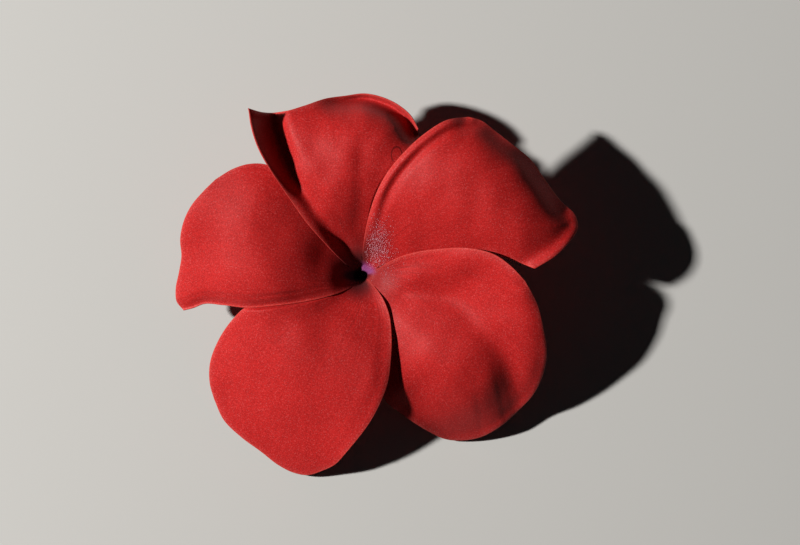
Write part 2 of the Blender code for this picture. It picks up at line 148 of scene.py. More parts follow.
# Each petal: the part of the mouth that it starts from in degrees, then its outline as
# points from root to corner along both long edges and from the free corner to the covered
# corner along the tip. A dome is its height and how fast it falls to the edges. A swell
# follows an edge: its edge, from and to along that edge, depth inside, width and height.
# A fold runs straight: its two ends, width and height.
PETALS = {
    "petal_top": {
        "root": (88, 155),
        "free": [(-4.4, 3.2), (-7.2, 6.1), (-10.4, 9.7), (-13.9, 14.6), (-17.3, 19.6),
                 (-19.9, 24.5), (-21.1, 28.5), (-21.5, 31.4)],
        "tip": [(-19.2, 30.8), (-14.8, 31.0), (-11.0, 32.1), (-7.2, 33.4), (-3.4, 33.9),
                (0.4, 34.3), (3.6, 33.6), (6.7, 32.1), (8.9, 30.2)],
        "covered": [(0.15, 2.9), (0.45, 3.8), (1.0, 5.3), (2.0, 8.0), (4.2, 12.6), (7.0, 17.1),
                    (9.3, 21.9), (10.6, 25.1), (10.4, 27.6)],
        "dome": (1.6, 4.5),
        "swells": [("free", 0.42, 1.6, 0.0, 1.5, 3.2), ("free", 0.5, 1.6, 4.2, 1.9, -3.4),
                   ("free", 0.2, 0.92, 2.8, 1.5, -2.0), ("free", -0.3, 0.45, 2.3, 1.5, -1.7),
                   ("free", 0.1, 0.75, 5.2, 1.3, -0.5),
                   ("tip", -0.5, 0.75, 0.0, 4.6, -3.6), ("tip", -0.5, 0.68, 1.0, 1.5, -3.2),
                   ("tip", -0.5, 0.6, 0.0, 0.5, 1.0),
                   ("tip", 0.7, 1.4, 0.0, 1.2, 1.8)],
        "folds": [((-0.2, 30.5), (-0.6, 6.0), 1.6, -0.3), ((-2.6, 34.0), (-3.4, 8.0), 4.5, 1.1)],
    },
    "petal_upper_right": {
        "root": (20, 88),
        "free": [(0.0, 3.8), (0.3, 6.7), (1.1, 11.0), (2.5, 15.4), (4.8, 19.6),
                 (8.0, 23.4), (11.8, 26.8), (16.0, 29.3), (19.9, 29.9)],
        "tip": [(22.2, 29.3), (25.1, 27.2), (28.3, 24.7), (31.7, 21.9), (34.6, 17.9),
                (37.4, 14.1), (40.5, 10.8), (40.7, 8.9), (39.3, 6.5), (36.7, 3.8)],
        "covered": [(2.6, 0.85), (3.4, 1.1), (4.7, 1.5), (6.6, 1.8), (9.6, 1.7), (14.6, 2.3),
                    (19.4, 3.4), (23.2, 4.3), (26.0, 3.6), (32.5, 1.2)],
        "dome": (2.4, 5.0),
        "swells": [("free", 0.1, 1.15, 0.9, 0.8, 0.5), ("free", 0.1, 1.1, 2.3, 0.9, -0.5),
                   ("tip", -0.4, 0.5, 0.0, 1.5, 1.8), ("tip", 0.15, 1.35, 0.0, 2.6, -1.8)],
        "folds": [],
    },
    "petal_lower_right": {
        "root": (-48, 20),
        "free": [(4.8, 2.3), (7.4, 3.5), (10.4, 4.3), (14.1, 4.8), (17.9, 5.1),
                 (21.5, 4.8), (24.9, 3.8), (27.9, 1.7), (30.6, -1.1)],
        "tip": [(32.9, -5.3), (34.2, -10.1), (34.9, -14.6), (34.2, -19.0), (32.3, -23.0),
                (29.3, -26.2), (26.0, -29.1), (22.6, -31.0), (18.8, -31.7), (15.6, -31.4),
                (12.7, -30.0), (9.3, -27.9)],
        "covered": [(1.75, -2.1), (2.2, -3.0), (2.6, -4.4), (2.9, -6.4), (2.5, -10.4),
                    (2.5, -16.1), (3.2, -20.9), (4.4, -24.1), (6.7, -26.0)],
        "dome": (1.4, 5.0),
        "swells": [("free", 0.1, 1.1, 5.5, 2.2, -0.5), ("free", 0.3, 1.3, 1.5, 2.0, 0.5),
                   ("tip", 0.0, 1.0, 0.0, 1.0, 0.4), ("tip", 0.5, 1.4, 0.0, 3.6, 1.2),
                   ("tip", 0.5, 1.2, 2.5, 3.5, 0.9),
                   ("covered", 0.1, 1.4, 0.0, 6.0, -0.4)],
        "folds": [((13.0, 3.5), (31.5, -22.5), 3.2, -1.1),
                  ((25.5, -8.0), (31.5, -35.0), 2.8, -1.0),
                  ((5.0, -0.8), (22.0, 0.6), 2.2, 0.6), ((3.5, -3.2), (20.0, -4.6), 1.9, -0.6),
                  ((24.5, -16.0), (28.5, -33.0), 0.6, -0.08),
                  ((27.0, -15.0), (32.0, -30.5), 0.5, -0.06),
                  ((21.0, -18.0), (23.5, -34.0), 0.7, -0.08)],
    },
    "petal_bottom": {
        "root": (235, 312),
        "free": [(2.3, -2.4), (3.4, -3.9), (4.8, -7.0), (5.4, -11.4), (5.3, -15.8), (4.7, -20.5),
                 (3.2, -24.5), (1.1, -28.3), (-1.3, -31.5), (-3.4, -34.0)],
        "tip": [(-5.3, -36.1), (-7.8, -37.4), (-10.8, -38.3), (-13.5, -37.8),
                (-16.1, -36.5), (-19.6, -33.8), (-23.4, -31.0), (-26.8, -27.6)],
        "covered": [(-1.9, -2.0), (-2.7, -2.2), (-3.9, -2.4), (-5.9, -2.6), (-9.1, -3.1),
                    (-14.8, -4.0), (-19.2, -4.6), (-22.0, -5.9), (-24.9, -8.6),
                    (-27.7, -12.7), (-29.3, -17.1), (-29.3, -20.9), (-28.5, -23.8)],
        "dome": (2.2, 6.0),
        "swells": [("free", 0.2, 1.0, 1.9, 1.1, -0.12), ("free", 0.2, 1.2, 0.3, 0.8, 0.08),
                   ("free", 0.1, 1.3, 0.0, 5.0, 0.7),
                   ("covered", -0.4, 0.75, 0.0, 3.0, 0.9)],
        "folds": [],
    },
    "petal_left": {
        "root": (155, 235),
        "free": [(-3.4, -2.9), (-7.2, -4.2), (-12.0, -5.2), (-16.7, -5.8), (-22.0, -6.2),
                 (-26.8, -5.7), (-30.4, -5.5), (-32.5, -6.3), (-34.2, -6.7)],
        "tip": [(-35.5, -5.1), (-35.7, -2.9), (-35.0, 0.6), (-34.5, 3.6), (-34.7, 6.7),
                (-34.0, 10.1), (-32.5, 13.1), (-30.2, 15.8)],
        "covered": [(-2.5, 1.5), (-3.2, 2.3), (-4.1, 3.5), (-5.3, 5.2), (-7.3, 7.8), (-9.9, 11.8),
                    (-12.6, 16.0), (-15.4, 19.2), (-18.4, 20.9), (-21.5, 21.0),
                    (-24.5, 20.1), (-27.7, 18.2)],
        "dome": (1.8, 5.5),
        "swells": [("free", 0.1, 1.4, 0.0, 0.25, 0.15), ("free", 0.1, 1.1, 2.0, 0.4, -0.15),
                   ("free", 0.1, 1.2, 0.0, 1.5, -1.4),
                   ("tip", 0.1, 1.4, 0.0, 3.5, 0.9)],
        "folds": [],
    },
}
# Which petal's free edge lies over each petal's covered edge
UPPER_NEIGHBOUR = {
    "petal_top": "petal_upper_right",
    "petal_upper_right": "petal_lower_right",
    "petal_lower_right": "petal_bottom",
    "petal_bottom": "petal_left",
    "petal_left": "petal_top",
}
LONG_EDGES_AND_TIP = ("free", "covered", "tip")


def ramp(start, end, value):
    """Rise smoothly from 0 at start to 1 at end"""
    t = np.clip((value - start) / (end - start), 0, 1)
    return t * t * (3 - 2 * t)


def bell(value, middle, width):
    """A bell of height 1 round the middle"""
    return np.exp(-((value - middle) / width) ** 2)


def smaller(a, b, blend):
    """The smaller of two heights, rounded where they meet"""
    share = np.clip(0.5 + 0.5 * (b - a) / blend, 0, 1)
    return b + (a - b) * share - blend * share * (1 - share)


def eased(t, start, leave, end, arrive):
    """From start to end as t goes from 0 to 1, with the slope given at each"""
    return ((2 * t ** 3 - 3 * t ** 2 + 1) * start + (t ** 3 - 2 * t ** 2 + t) * leave
            + (3 * t ** 2 - 2 * t ** 3) * end + (t ** 3 - t ** 2) * arrive)


def smooth_curve(points, count):
    """A curve through the points, as a given count of points spaced evenly along it"""
    p = np.array(points, float)
    p = np.vstack([2 * p[0] - p[1], p, 2 * p[-1] - p[-2]])
    t = np.linspace(0, 1, CURVE_STEPS, endpoint=False)[:, None]
    spans = []
    for before, start, end, after in zip(p[:-3], p[1:-2], p[2:-1], p[3:]):
        came, here, goes = (np.linalg.norm(b - a) for a, b in
                            ((before, start), (start, end), (end, after)))
        heading = (end - start) / here
        leave = ((start - before) / came * here + heading * came) / (came + here) * here
        arrive = (heading * goes + (after - end) / goes * here) / (here + goes) * here
        spans.append(eased(t, start, leave, end, arrive))
    spans.append(p[-2:-1])
    curve = np.vstack(spans)
    run = np.concatenate([[0], np.cumsum(np.linalg.norm(np.diff(curve, axis=0), axis=1))])
    wanted = np.linspace(0, run[-1], count)
    return np.stack([np.interp(wanted, run, axis) for axis in curve.T], axis=1)


def on_mouth(angle):
    """A point of the throat's ring"""
    return (MOUTH_RADIUS * cos(radians(angle)), MOUTH_RADIUS * sin(radians(angle)))


def edge_curves(petal):
    """The four curves round a petal, seen from above"""
    first = petal["root"][0] + ROOT_GAP_ANGLE
    last = petal["root"][1] - ROOT_GAP_ANGLE
    corners = petal["covered"][-1], petal["free"][-1]
    return {
        "covered": smooth_curve([on_mouth(first)] + petal["covered"], CURVE_POINTS),
        "free": smooth_curve([on_mouth(last)] + petal["free"], CURVE_POINTS),
        "tip": smooth_curve([corners[0]] + petal["tip"][::-1] + [corners[1]], CURVE_POINTS),
        "root": np.array([on_mouth(a) for a in np.linspace(first, last, CURVE_POINTS)]),
    }


def nearest(x, y, curve):
    """Distance from each point to a curve, and how far along the curve it is, 0 to 1"""
    start, step = curve[:-1], np.diff(curve, axis=0)
    to_x, to_y = x[..., None] - start[:, 0], y[..., None] - start[:, 1]
    t = np.clip((to_x * step[:, 0] + to_y * step[:, 1]) / (step ** 2).sum(1), 0, 1)
    distance = np.hypot(to_x - t * step[:, 0], to_y - t * step[:, 1])
    best = distance.argmin(-1)[..., None]
    along = (best + np.take_along_axis(t, best, -1)) / len(start)
    return np.take_along_axis(distance, best, -1)[..., 0], along[..., 0]


def inside(x, y, curves):
    """Whether each point lies inside the petal's outline"""
    ring = np.vstack([curves["covered"], curves["tip"][1:], curves["free"][-2::-1],
                      curves["root"][-2:0:-1]])
    result = np.zeros(x.shape, bool)
    for (ax, ay), (bx, by) in zip(ring, np.roll(ring, -1, axis=0)):
        if ay != by:
            result ^= ((ay > y) != (by > y)) & (x < (bx - ax) * (y - ay) / (by - ay) + ax)
    return result


def arch(x, y):
    """The bloom's face as a whole, out of the throat, over and down: a smooth curve through
    the profiles on both sides of each point"""
    reach, turn = np.hypot(x, y), np.degrees(np.arctan2(y, x))
    headings = sorted(PROFILES)
    heights = [np.interp(reach, *PROFILE_CURVES[heading].T) for heading in headings]
    gaps = (np.roll(headings, -1) - headings) % 360
    lift = [(after - here) / gap for here, after, gap in
            zip(heights, heights[1:] + heights[:1], gaps)]
    slopes = [(lift[k - 1] * gaps[k] + lift[k] * gaps[k - 1]) / (gaps[k - 1] + gaps[k])
              for k in range(len(headings))]
    height = np.full(x.shape, MOUTH_HEIGHT)
    for k, (heading, gap) in enumerate(zip(headings, gaps)):
        t = ((turn - heading) % 360) / gap
        after = (k + 1) % len(headings)
        between = eased(t, heights[k], gap * slopes[k], heights[after], gap * slopes[after])
        height += np.where((t >= 0) & (t < 1), between, 0)
    return height


def folds_and_ripples(name, x, y):
    """The low relief of one petal"""
    relief = np.zeros(x.shape)
    for start, end, width, height in PETALS[name]["folds"]:
        start, end = np.array(start), np.array(end)
        length = np.linalg.norm(end - start)
        ux, uy = (end - start) / length
        along = ((x - start[0]) * ux + (y - start[1]) * uy) / length
        apart = (x - start[0]) * uy - (y - start[1]) * ux
        fade = ramp(0, FADE, along) * ramp(0, FADE, 1 - along)
        relief += height * fade * bell(apart, 0, width)
    draw = np.random.default_rng(list(PETALS).index(name))
    for k in range(RIPPLES):
        heading, phase = draw.uniform(0, 2 * pi, 2)
        length = draw.uniform(*RIPPLE_LENGTHS)
        wave = (x * cos(heading) + y * sin(heading)) * 2 * pi / length + phase
        relief += RIPPLE_HEIGHT * np.sin(wave)
    return relief


def free_height(name, x, y):
    """A petal's upper face before its covered edge is tucked away, and how far each point is
    inside its free edge, inside any edge, and outside its free edge"""
    petal, curves = PETALS[name], EDGE_CURVES[name]
    within = inside(x, y, curves)
    reach = np.hypot(x, y)
    apart, along = {}, {}
    for edge in LONG_EDGES_AND_TIP:
        apart[edge], along[edge] = nearest(x, y, curves[edge])
    # outside the petal, the edge that was crossed counts as no depth at all
    crossed = np.minimum.reduce([apart[edge] for edge in LONG_EDGES_AND_TIP])
    depth = {edge: np.where(within | (apart[edge] > crossed), apart[edge], 0)
             for edge in LONG_EDGES_AND_TIP}
    rise, fall = petal["dome"]
    dome = np.ones(x.shape)
    for edge in LONG_EDGES_AND_TIP:
        dome *= 1 - np.exp(-depth[edge] / fall)
    height = arch(x, y) + rise * (dome - DOME_SINK) * ramp(*DOME_GROWS, reach)
    pitch = (np.exp(-depth["free"] / PITCH_WIDTH)
             - PITCH_COVERED_SHARE * np.exp(-depth["covered"] / PITCH_WIDTH))
    height += PITCH * pitch * ramp(*PITCH_GROWS, reach)
    for edge, start, end, middle, width, swell in petal["swells"]:
        half = (end - start) / 2 - np.abs(along[edge] - (start + end) / 2)
        height += swell * ramp(0, FADE, half) * bell(depth[edge], middle, width) \
            * ramp(*SWELLS_GROW, reach)
    height += folds_and_ripples(name, x, y) * ramp(*FOLDS_GROW, reach)
    rim_depth = np.where(within, crossed, 0)
    outside = np.where(within, 0, apart["free"])
    return height, depth["free"], rim_depth, outside


def blade_thickness(depth):
    """The blade is thinner towards its rim"""
    return RIM + (BLADE - RIM) * ramp(0, RIM_TAPER, depth)


def face_height(name, x, y):
    """A petal's upper face, with its covered edge tucked under the next petal"""
    height, _, rim_depth, _ = free_height(name, x, y)
    above = UPPER_NEIGHBOUR[name]
    roof, roof_depth, _, outside = free_height(above, x, y)
    slopes = [(free_height(above, x + dx, y + dy)[0] - roof) / SLOPE_STEP
              for dx, dy in ((SLOPE_STEP, 0), (0, SLOPE_STEP))]
    steep = np.minimum(np.sqrt(1 + slopes[0] ** 2 + slopes[1] ** 2), STEEPEST_ROOF)
    dive = ramp(DIVE_START, DIVE_END, np.hypot(x, y))
    clearance = (blade_thickness(roof_depth) + BLADE_GAP) * steep * dive
    limit = roof - clearance + np.maximum(outside - DIVE_MARGIN, 0) * DIVE_SLOPE + (1 - dive)
    return np.where(outside < DIVE_REACH, smaller(height, limit, DIVE_BLEND), height), rim_depth


def spread_rows(count, evenness):
    """Shares from 0 to 1, closer together at both ends"""
    t = np.linspace(0, 1, count)
    return evenness * t + (1 - evenness) * (1 - np.cos(pi * t)) / 2


def petal_plan(curves, along, across):
    """A grid of points that fills the outline, as rows across from root to tip"""
    def pick(edge, shares):
        place = shares * (CURVE_POINTS - 1)
        return np.stack([np.interp(place, np.arange(CURVE_POINTS), axis)
                         for axis in curves[edge].T], axis=1)

    u, v = along[:, None, None], across[None, :, None]
    covered, free = pick("covered", along)[:, None], pick("free", along)[:, None]
    root, tip = pick("root", across)[None], pick("tip", across)[None]
    corners = ((1 - u) * (1 - v) * root[:, :1] + (1 - u) * v * root[:, -1:]
               + u * (1 - v) * tip[:, :1] + u * v * tip[:, -1:])
    return (1 - v) * covered + v * free + (1 - u) * root + u * tip - corners


def petal_face(name):
    """A petal's upper face with its lining in the throat: points, shares along and across,
    and the depth inside the rim"""
    along = spread_rows(ROWS_ALONG, EVEN_ALONG)
    across = spread_rows(ROWS_ACROSS, EVEN_ACROSS)
    plan = petal_plan(EDGE_CURVES[name], along, across)
    x, y = plan[..., 0], plan[..., 1]
    z, rim_depth = face_height(name, x, y)
    face = np.dstack([x, y, z])
    funnel = throat_rows(face[0])
    rim_depth = np.vstack([np.repeat(rim_depth[:1], len(funnel), axis=0), rim_depth])
    lining = -LINING_SHARE * np.arange(len(funnel), 0, -1) / len(funnel)
    along = np.concatenate([lining, along])
    return np.vstack([funnel, face]), along, across, rim_depth


def off_patch(points, heading, width):
    """0 round a heading out of the throat, 1 well past this half width in degrees"""
    turn = np.degrees(np.arctan2(points[:, 1], points[:, 0]))
    apart = np.abs((turn - heading + 180) % 360 - 180)
    return ramp(width * PATCH_EDGE[0], width * PATCH_EDGE[1], apart)


def throat_rows(mouth):
    """The rows of a petal inside the throat, from the hole's bottom up to the mouth"""
    turn = np.arctan2(mouth[:, 1], mouth[:, 0])
    long_way = HOLE_HALVES[0] * np.cos(turn - radians(HOLE_TURN))
    short_way = HOLE_HALVES[1] * np.sin(turn - radians(HOLE_TURN))
    turn_cos, turn_sin = cos(radians(HOLE_TURN)), sin(radians(HOLE_TURN))
    hole = np.array(HOLE_CENTRE) + np.stack([long_way * turn_cos - short_way * turn_sin,
                                             long_way * turn_sin + short_way * turn_cos], 1)
    slope = LIP_SLOPE + (FUNNEL_SLOPE - LIP_SLOPE) * off_patch(mouth, LIP_HEADING, LIP_WIDTH)
    drop = np.linalg.norm(mouth[:, :2] - hole, axis=1) * slope
    edge = np.column_stack([hole, mouth[:, 2] - drop])
    bottom = np.column_stack([hole * HOLE_NARROWING,
                              np.full(len(hole), MOUTH_HEIGHT - HOLE_DEPTH)])
    stretches = ((bottom, edge, HOLE_ROWS), (edge, mouth, FUNNEL_ROWS))
    return np.array([low + (high - low) * t for low, high, count in stretches
                     for t in np.linspace(0, 1, count, endpoint=False)])


def to_metres(points):
    """Move points from the throat to the flower's own place"""
    return (points + np.array([THROAT[0], THROAT[1], 0.0])) * MM


def add_object(name, data):
    """An object in the scene that shows the data"""
    item = bpy.data.objects.new(name, data)
    bpy.context.scene.collection.objects.link(item)
    return item


def grid_quads(index):
    """Four-sided faces between the rows and columns of a grid of point numbers"""
    quads = np.stack([index[:-1, :-1], index[1:, :-1], index[1:, 1:], index[:-1, 1:]], -1)
    return quads.reshape(-1, 4)


def new_piece(name, points, faces, material, layers=None, uv=None):
    """A smooth mesh object with number layers on its points"""
    data = bpy.data.meshes.new(name)
    data.from_pydata(to_metres(points).tolist(), [], faces)
    for layer, values in (layers or {}).items():
        data.attributes.new(layer, "FLOAT", "POINT").data.foreach_set("value", values)
    if uv is not None:
        corners = np.zeros(len(data.loops), np.int32)
        data.loops.foreach_get("vertex_index", corners)
        data.uv_layers.new(name="UVMap").data.foreach_set("uv", uv[corners].ravel())
    if material is not None:
        data.materials.append(material)
    data.shade_smooth()
    data.validate()
    return add_object(name, data)


def throat_side(points, patches):
    """How much of a tone of the throat each point has"""
    share = np.zeros(len(points))
    reach = np.hypot(points[:, 0], points[:, 1])
    for heading, width, near, far, strength in patches:
        patch = (1 - ramp(near, far, reach)) * (1 - off_patch(points, heading, width))
        share = np.maximum(share, patch * strength)
    return share


# Where papillae stand: the middle of the patch on a petal, its half width and half height,
# and how thickly, 1 for the most. They thin out over this share of the patch.
PAPILLAE = {
    "petal_upper_right": (2.9, 5.3, 2.6, 5.2, 1.0),
    "petal_lower_right": (5.0, -0.2, 3.0, 2.4, 0.3),
}
PAPILLAE_FALL = 0.75


def down(name, points):
    """How thickly papillae stand at each point of a petal"""
    if name not in PAPILLAE:
        return np.zeros(points.shape[:-1])
    middle_x, middle_y, half_width, half_height, most = PAPILLAE[name]
    apart = np.hypot((points[..., 0] - middle_x) / half_width,
                     (points[..., 1] - middle_y) / half_height)
    return most * bell(apart, 0, PAPILLAE_FALL)


def petal_piece(name, material):
    """One petal as a closed blade with a rounded rim"""
    face, along, across, rim_depth = PETAL_FACES[name]
    run = np.gradient(face, axis=0)
    side = np.gradient(face, axis=1)
    normal = np.cross(run, side)
    normal /= np.linalg.norm(normal, axis=2, keepdims=True)
    thinning = np.where(np.arange(len(face)) < FUNNEL_ROWS + HOLE_ROWS, FUNNEL_THINNING, 1)
    under = face - normal * (blade_thickness(rim_depth) * thinning[:, None])[..., None]
    rows, columns = face.shape[:2]
    index = np.arange(rows * columns).reshape(rows, columns)

    ring = ([(i, 0) for i in range(rows - 1)] + [(rows - 1, j) for j in range(columns - 1)]
            + [(i, columns - 1) for i in range(rows - 1, 0, -1)]
            + [(0, j) for j in range(columns - 1, 0, -1)])
    ring_i, ring_j = np.array(ring).T
    inner = face[np.clip(ring_i, 1, rows - 2), np.clip(ring_j, 1, columns - 2)]
    outward = face[ring_i, ring_j] - inner
    outward /= np.linalg.norm(outward, axis=1, keepdims=True)
    nose = (face + under)[ring_i, ring_j] / 2 + outward * RIM_NOSE

    points = np.vstack([face.reshape(-1, 3), under.reshape(-1, 3), nose])
    count = rows * columns
    upper = grid_quads(index)
    lower = upper[:, ::-1] + count
    high = index[ring_i, ring_j]
    middle = 2 * count + np.arange(len(ring))
    turned = np.roll(np.arange(len(ring)), -1)
    rim = np.vstack([
        np.stack([high[turned], high, middle, middle[turned]], 1),
        np.stack([middle[turned], middle, high + count, high[turned] + count], 1)])
    faces = np.vstack([upper, lower, rim]).tolist()

    depth = np.concatenate([rim_depth.ravel(), rim_depth.ravel(), np.zeros(len(ring))])
    underside = np.concatenate([np.zeros(count), np.ones(count), np.full(len(ring), 0.5)])
    # where the painted shade round the hole falls
    pit_shade = np.hypot((points[:, 0] - PIT_SHADE[0]) / PIT_SHADE[2], (points[:, 1] - PIT_SHADE[1]) / PIT_SHADE[3])
    uv_grid = np.dstack(np.broadcast_arrays(along[:, None], across[None, :])).reshape(-1, 2)
    uv = np.vstack([uv_grid, uv_grid, uv_grid[high]])
    piece = new_piece(name + "_blade", points, faces, material,
                      {"rim_depth": depth, "underside": underside, "pit_shade": pit_shade,
                       "reach": np.hypot(points[:, 0], points[:, 1]), "down": down(name, points),
                       # how much painted shade darkens the throat's sides that face away from the
                       # light
                       "painted_shade": throat_side(points, PAINTED_SHADE_PATCHES), "lilac": throat_side(points, LILAC),
                       "curled": np.full(len(points), float(name == CURLED_PETAL))},
                      uv)
    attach(piece, FLOWER)
    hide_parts(name)


class Value:
    """A shader socket that takes part in sums"""

    def __init__(self, finish, socket):
        self.finish = finish
        self.socket = socket

    def __add__(self, other):
        return self.finish.maths("ADD", self, other)

    def __mul__(self, other):
        return self.finish.maths("MULTIPLY", self, other)

    def __sub__(self, other):
        return self.finish.maths("SUBTRACT", self, other)

    def __rsub__(self, other):
        return self.finish.maths("SUBTRACT", other, self)

    def __truediv__(self, other):
        return self.finish.maths("DIVIDE", self, other)

    def __rtruediv__(self, other):
        return self.finish.maths("DIVIDE", other, self)

    __radd__ = __add__
    __rmul__ = __mul__


class Outputs:
    """The outputs of one node, by name or identifier"""

    def __init__(self, finish, node):
        self.finish = finish
        self.node = node

    def __getitem__(self, name):
        for socket in self.node.outputs:
            if name in (socket.identifier, socket.name):
                return Value(self.finish, socket)
        raise KeyError(name)


class Finish:
    """A material and the tree that its look is written in"""

    def __init__(self, name):
        self.material = bpy.data.materials.new(name)
        self.material.use_nodes = True
        self.tree = self.material.node_tree
        self.tree.nodes.clear()

    def node(self, kind, settings=None, sockets=None):
        """A node of one type, its settings set first, then its sockets' values or links"""
        node = self.tree.nodes.new(kind)
        for key, setting in (settings or {}).items():
            setattr(node, key, setting)
        for key, value in (sockets or {}).items():
            socket = node.inputs[key] if isinstance(key, int) else next(
                s for s in node.inputs if key in (s.identifier, s.name))
            if isinstance(value, Value):
                self.tree.links.new(value.socket, socket)
            else:
                socket.default_value = value
        return Outputs(self, node)

    def maths(self, operation, *terms):
        """One step of sums on numbers or values"""
        return self.node("ShaderNodeMath", {"operation": operation},
                         dict(enumerate(terms)))["Value"]

    def blend(self, share, a, b):
        """From colour a to colour b"""
        return self.node("ShaderNodeMix", {"data_type": "RGBA"},
                         {"Factor_Float": share, "A_Color": a, "B_Color": b})["Result_Color"]

    def step(self, value, start, end):
        """0 where a value is at start, 1 where it is at end, smooth between"""
        return self.node("ShaderNodeMapRange", {"interpolation_type": "SMOOTHSTEP"},
                         {"Value": value, "From Min": start, "From Max": end})["Result"]

    def layer(self, name):
        """A number that the piece's points carry"""
        return self.node("ShaderNodeAttribute", {"attribute_name": name})["Fac"]

    def place_in_mm(self):
        """The point's place on the piece in millimetres"""
        place = self.node("ShaderNodeTexCoord")["Object"]
        return self.node("ShaderNodeVectorMath", {"operation": "SCALE"},
                         {0: place, "Scale": 1 / MM})["Vector"]

    def grain(self, vector, scale, detail=2.0, roughness=0.5):
        """Soft noise from 0 to 1, so many to the unit of its vector"""
        return self.node("ShaderNodeTexNoise", {}, {
            "Vector": vector, "Scale": scale, "Detail": detail, "Roughness": roughness})["Fac"]

    def surface(self, varying, constant):
        """The shader itself and the material's output"""
        shader = self.node("ShaderNodeBsdfPrincipled", {}, {**varying, **constant})
        self.node("ShaderNodeOutputMaterial", {}, {"Surface": shader["BSDF"]})
        return self.material


# A thin dark curl: the petal that it lies on, its middle in millimetres on the flower's own
# axes, its half width and half height, the shares of those from its line between which it
# fades, how much higher its right end is, and the heights between which its ends fade
CURLED_PETAL = "petal_top"
CURL_MIDDLE = (4.05, 24.7)
CURL_HALVES = (1.0, 1.5)
CURL_LINE = (0.06, 0.18)
CURL_LEAN = 0.55
CURL_ENDS = (-0.65, -0.25)
# Colours of the petals, from the depth of the skin to the painted highlight on rims that catch
# the light, the painted glints and sparkles, the ground of the papillae and the underside, in
# linear light
CRIMSON_DEEP = (0.29, 0.006, 0.006, 1)
CRIMSON = (0.44, 0.0135, 0.0125, 1)
CRIMSON_SHADE = (0.13, 0.004, 0.004, 1)
CRIMSON_RIM_HIGHLIGHT = (0.54, 0.07, 0.05, 1)
CRIMSON_GLINT = (0.74, 0.20, 0.20, 1)
CRIMSON_DOWN = (0.24, 0.016, 0.022, 1)
CRIMSON_UNDER = (0.34, 0.030, 0.032, 1)
THROAT_LILAC = (0.21, 0.045, 0.17, 1)
# Painted shade on the sides of the throat that face away from the light
PAINTED_THROAT_SHADE = (0.045, 0.010, 0.011, 1)
# Painted shade down and round the hole
PAINTED_HOLE_SHADE = (0.006, 0.005, 0.009, 1)
# The spots of the skin, so many to the millimetre: slow drifts of tone, velvety cells, fine
# sparkles and glints. The sparkles and glints are painted highlights in the colour, and the
# sparkles also polish the roughness. The veins' pattern is stretched along the blade.
DRIFTS, CELLS, SPARKLES, GLINTS = 0.16, 3.6, 6.5, 4.6
VEIN_STRETCH = (1.6, 46.0, 1.0)
# How much drifts, veins and cells count in the tone, and the range that they are taken from
TONE_SHARES = (0.15, 0.2, 0.65)
TONE_RANGE = (0.32, 0.68)
# Dark streaks along the veins: their range, where they end, and how strong they are
STREAK_RANGE = (0.52, 0.30)
STREAKS_END = (5.0, 17.0)
STREAK_STRENGTH = 0.5
# The rim painted paler as a highlight where the thin edges catch the light, and painted sparkle
# glints on it: the depths inside the edge where they end, the range of the sparkles that are
# painted as glints, and how strong both are
RIM_HIGHLIGHT_END = (0.02, 0.5)
RIM_HIGHLIGHT_STRENGTH = 0.25
RIM_GLINT_RANGE = (0.55, 0.75)
RIM_GLINT_END = (0.3, 1.3)
RIM_GLINT_STRENGTH = 0.22
# The painted glints over the whole skin: the range of their spots and how strong they are
GLINT_RANGE = (0.60, 0.78)
GLINT_STRENGTH = 0.15
# How strong the tones of the underside, of the papillae's ground and of the curl are, and those
# of the throat's painted shade and of its lilac side, each with what the cells add to it
UNDER_STRENGTH = 0.6
DOWN_STRENGTH = 0.7
CURL_STRENGTH = 0.85
PAINTED_SHADE_STRENGTH = (0.6, 0.6)
LILAC_STRENGTH = (0.65, 0.5)
# How much the cells roughen the edge of the painted shade round the hole, and where that edge is
PIT_SHADE_CELLS = 0.25
PIT_SHADE_EDGE = (0.75, 1.35)
# The skin's roughness, what the sparkles take off it and their range
VELVET_ROUGHNESS = 0.60
SPARKLE_POLISH = 0.16
SPARKLE_RANGE = (0.60, 0.78)
# The height of the skin's relief, and how much the cells and the veins stand out in it
RELIEF_HEIGHT = 0.05 * MM
RELIEF_SHARES = (0.9, 0.5)


def curl_mark(f, place):
    """A thin dark arch, open below, 1 on its line and 0 beside it"""
    split = f.node("ShaderNodeSeparateXYZ", {}, {"Vector": place})
    across = (split["X"] - CURL_MIDDLE[0]) / CURL_HALVES[0]
    up = (split["Y"] - CURL_MIDDLE[1]) / CURL_HALVES[1]
    from_line = f.maths("ABSOLUTE", f.maths("SQRT", across * across + up * up) - 1)
    arch_share = f.step(up - across * CURL_LEAN, *CURL_ENDS)
    return (1 - f.step(from_line, *CURL_LINE)) * arch_share * f.layer("curled")


